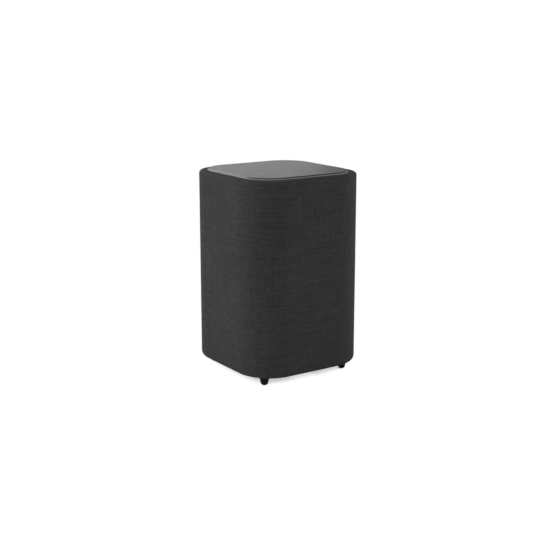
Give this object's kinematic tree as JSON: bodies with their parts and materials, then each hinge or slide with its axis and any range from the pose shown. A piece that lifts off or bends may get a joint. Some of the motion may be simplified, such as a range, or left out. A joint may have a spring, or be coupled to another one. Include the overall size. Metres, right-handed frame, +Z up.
{
  "type": "subwoofer",
  "caption": "Tall square-plan wireless subwoofer with rounded corners, wrapped in grey woven fabric, with a satin top panel, small tapered feet and a down-firing driver.",
  "frame": {"origin": "on the floor, under the middle of the cabinet", "axes": "+Z up, the front faces -Y, the connection niche faces +Y"},
  "size_m": [0.352, 0.352, 0.5358],
  "materials": {
    "cover_fabric": "fine woven melange, matte",
    "panel_satin": "satin, very fine grain",
    "trim_grey": "satin anodised",
    "black_plastic": "fine spark-eroded grain",
    "niche_plastic": "fine spark-eroded grain",
    "button_plastic": "satin",
    "foot_black": "satin",
    "soft_rubber": "matte",
    "board_wood": "raw fibreboard",
    "wadding_fibre": "loose polyester fibre",
    "black_metal": "powder coated",
    "plated_metal": "zinc plated",
    "cone_pulp": "pressed fibre, matte",
    "bare_aluminium": "extruded",
    "copper_wire": "enamelled wire",
    "spider_cloth": "resin-dipped cloth",
    "dark_ferrite": "sintered",
    "board_laminate": "solder mask",
    "clear_plastic": "frosted",
    "lead_jacket": "matte"
  },
  "bodies": {
    "cabinet": {"amp_board": "board_laminate", "amp_chassis": "plated_metal", "amp_housing": "black_plastic", "baffle_board": "board_wood", "board_screws": "plated_metal", "board_standoffs": "plated_metal", "bottom_cover": "black_plastic", "button_switch": "black_plastic", "cabinet_brace": "board_wood", "cabinet_top_board": "board_wood", "cabinet_wrap": "board_wood", "carrier_screws": "plated_metal", "chassis_screws": "plated_metal", "connection_board": "board_laminate", "connection_tray": "niche_plastic", "cover_screws": "black_metal", "damping_wadding": "wadding_fibre", "driver_basket": "black_metal", "driver_gasket": "soft_rubber", "driver_screws": "black_metal", "fabric_sleeve": "cover_fabric", "foot_front_left": "foot_black", "foot_front_right": "foot_black", "foot_pads": "soft_rubber", "foot_rear_left": "foot_black", "foot_rear_right": "foot_black", "foot_screws": "black_metal", "heat_sink": "bare_aluminium", "lead_grommet": "soft_rubber", "magnet_front_plate": "plated_metal", "magnet_ring": "dark_ferrite", "output_coils": "copper_wire", "pole_yoke": "plated_metal", "port_tube": "black_plastic", "power_inlet": "black_plastic", "power_inlet_pins": "plated_metal", "power_transformer": "dark_ferrite", "reservoir_capacitors": "black_plastic", "service_socket": "plated_metal", "service_socket_tongue": "black_plastic", "speaker_lead": "lead_jacket", "spider": "spider_cloth", "status_light_pipe": "clear_plastic", "surround": "soft_rubber", "terminal_strip": "board_laminate", "terminal_tabs": "plated_metal", "tinsel_leads": "copper_wire", "top_carrier": "black_plastic", "top_panel": "panel_satin", "top_trim_ring": "trim_grey", "tray_bosses": "niche_plastic", "tray_screws": "plated_metal", "wireless_module": "plated_metal"},
    "driver_cone": {"cone": "cone_pulp", "dust_cap": "cone_pulp", "voice_coil_former": "bare_aluminium", "voice_coil_winding": "copper_wire", "coil_collar": "black_plastic"},
    "button": {"connect_button": "button_plastic"}
  },
  "joints": [
    {"name": "cone_travel", "type": "slide", "parent": "cabinet", "child": "driver_cone", "axis": [0, 0, 1], "range_m": [-0.008, 0.008], "stiffness_N_per_m": 4000, "deforming": ["surround", "spider", "tinsel_leads"]},
    {"name": "connect_button_press", "type": "slide", "parent": "cabinet", "child": "button", "axis": [0, -1, 0], "range_m": [0, 0.0008], "stiffness_N_per_m": 1500, "springref_m": -0.0005}
  ]
}
